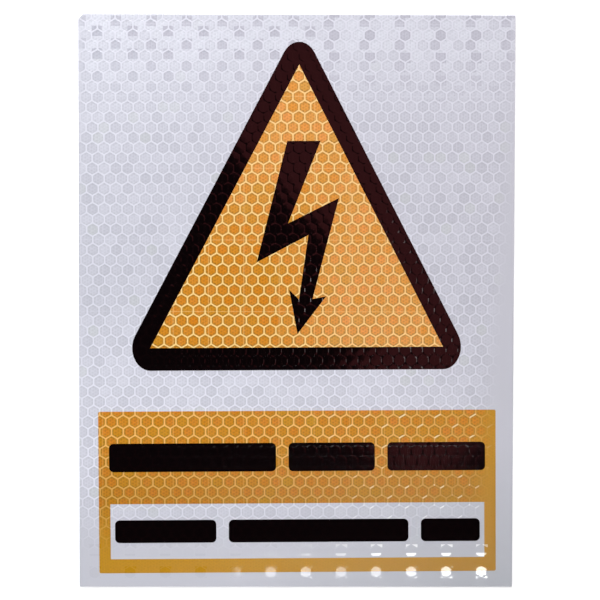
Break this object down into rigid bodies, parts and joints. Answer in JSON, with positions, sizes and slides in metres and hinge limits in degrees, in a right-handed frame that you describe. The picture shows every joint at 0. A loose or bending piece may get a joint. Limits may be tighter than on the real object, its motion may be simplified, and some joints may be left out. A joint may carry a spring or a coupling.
{
  "type": "high voltage warning sign",
  "caption": "Self-adhesive honeycomb reflective sheet, printed with a lightning arrow in a bordered triangle over a yellow word panel.",
  "frame": {"origin": "middle of the adhesive back face, on the surface the sheet lies on", "axes": "+Y towards the top of the sign, +X to the reader's right, +Z out of the printed face"},
  "size_m": [0.152, 0.2, 0.0006],
  "materials": {
    "reflective_film": "clear smooth film over pearly white honeycomb cells",
    "yellow_ink": "transparent yellow-orange screen ink on the film",
    "black_ink": "opaque black screen ink, smooth"
  },
  "bodies": {
    "root": {"reflective_sheet": "reflective_film", "yellow_print": "yellow_ink", "black_print": "black_ink"}
  },
  "joints": []
}
